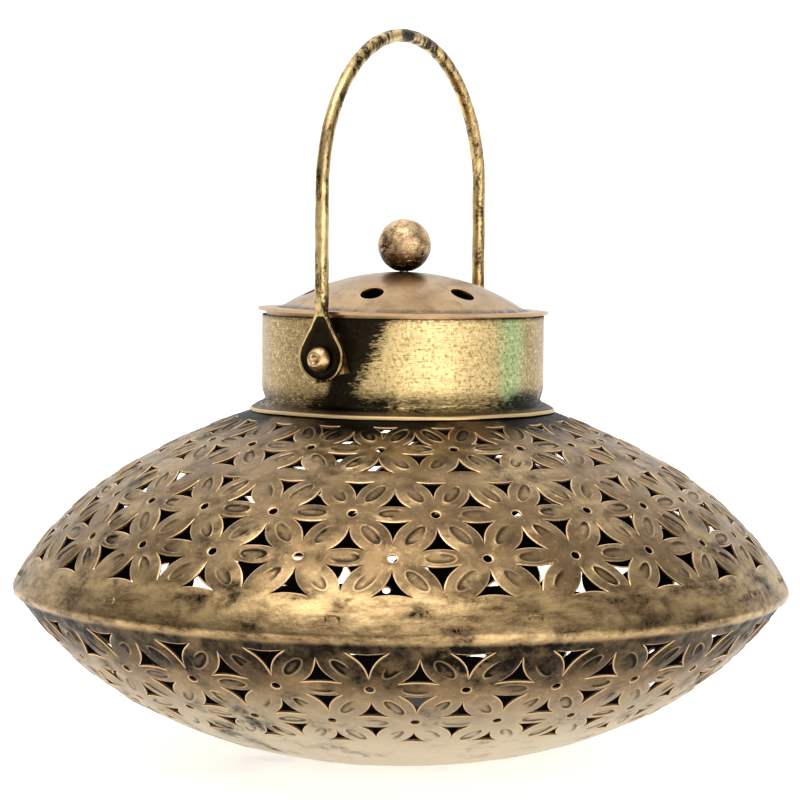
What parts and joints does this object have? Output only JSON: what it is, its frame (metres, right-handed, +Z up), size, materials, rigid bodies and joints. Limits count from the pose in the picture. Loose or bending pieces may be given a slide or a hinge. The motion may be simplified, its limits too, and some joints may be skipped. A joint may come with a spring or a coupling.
{
  "type": "hanging lantern",
  "caption": "Hanging lantern for a tealight: pierced lens-shaped sheet-metal body, brass neck collar, lift-off domed lid with ball knob, swinging rod bail.",
  "frame": {"origin": "centre of the flat foot of the bowl, on the surface the lantern stands on", "axes": "+Z up the lantern's axis; X is the line through the two bail pivots"},
  "size_m": [0.25, 0.25, 0.2329],
  "materials": {
    "antique_shell": "antique brass over sheet iron, dark patina in the low places",
    "bright_brass": "brushed, with dark patina at the base",
    "copper_bronze": "satin copper bronze",
    "worn_brass": "worn and pitted",
    "brass_rod": "drawn rod, darkened in streaks",
    "steel_screw": "zinc plated",
    "cup_iron": "dark sheet iron",
    "tealight_tin": "thin drawn sheet",
    "candle_wax": "paraffin wax",
    "wick_cotton": "waxed cotton"
  },
  "bodies": {
    "lantern_body": {"lower_bowl": "antique_shell", "upper_dome": "antique_shell", "neck_collar": "bright_brass", "pivot_rivet_left": "worn_brass", "pivot_rivet_right": "worn_brass", "pivot_spacer_left": "worn_brass", "pivot_spacer_right": "worn_brass", "inner_washer_left": "steel_screw", "inner_washer_right": "steel_screw", "candle_cup": "cup_iron"},
    "lid": {"lid_dome": "copper_bronze", "lid_locating_ring": "copper_bronze", "knob_ball": "worn_brass", "knob_screw": "steel_screw", "knob_washer": "steel_screw"},
    "bail": {"bail_handle": "brass_rod"},
    "tealight": {"tealight_case": "tealight_tin", "tealight_wax": "candle_wax", "tealight_wick": "wick_cotton", "wick_tab": "steel_screw"}
  },
  "joints": [
    {"name": "bail_swing", "type": "hinge", "parent": "lantern_body", "child": "bail", "pos_m": [0, 0, 0.12863], "axis": [1, 0, 0], "range_deg": [-111, 111]},
    {"name": "lid_lift", "type": "slide", "parent": "lantern_body", "child": "lid", "axis": [0, 0, 1], "range_m": [0, 0.04]},
    {"name": "tealight_lift", "type": "slide", "parent": "lantern_body", "child": "tealight", "axis": [0, 0, 1], "range_m": [0, 0.04]}
  ]
}
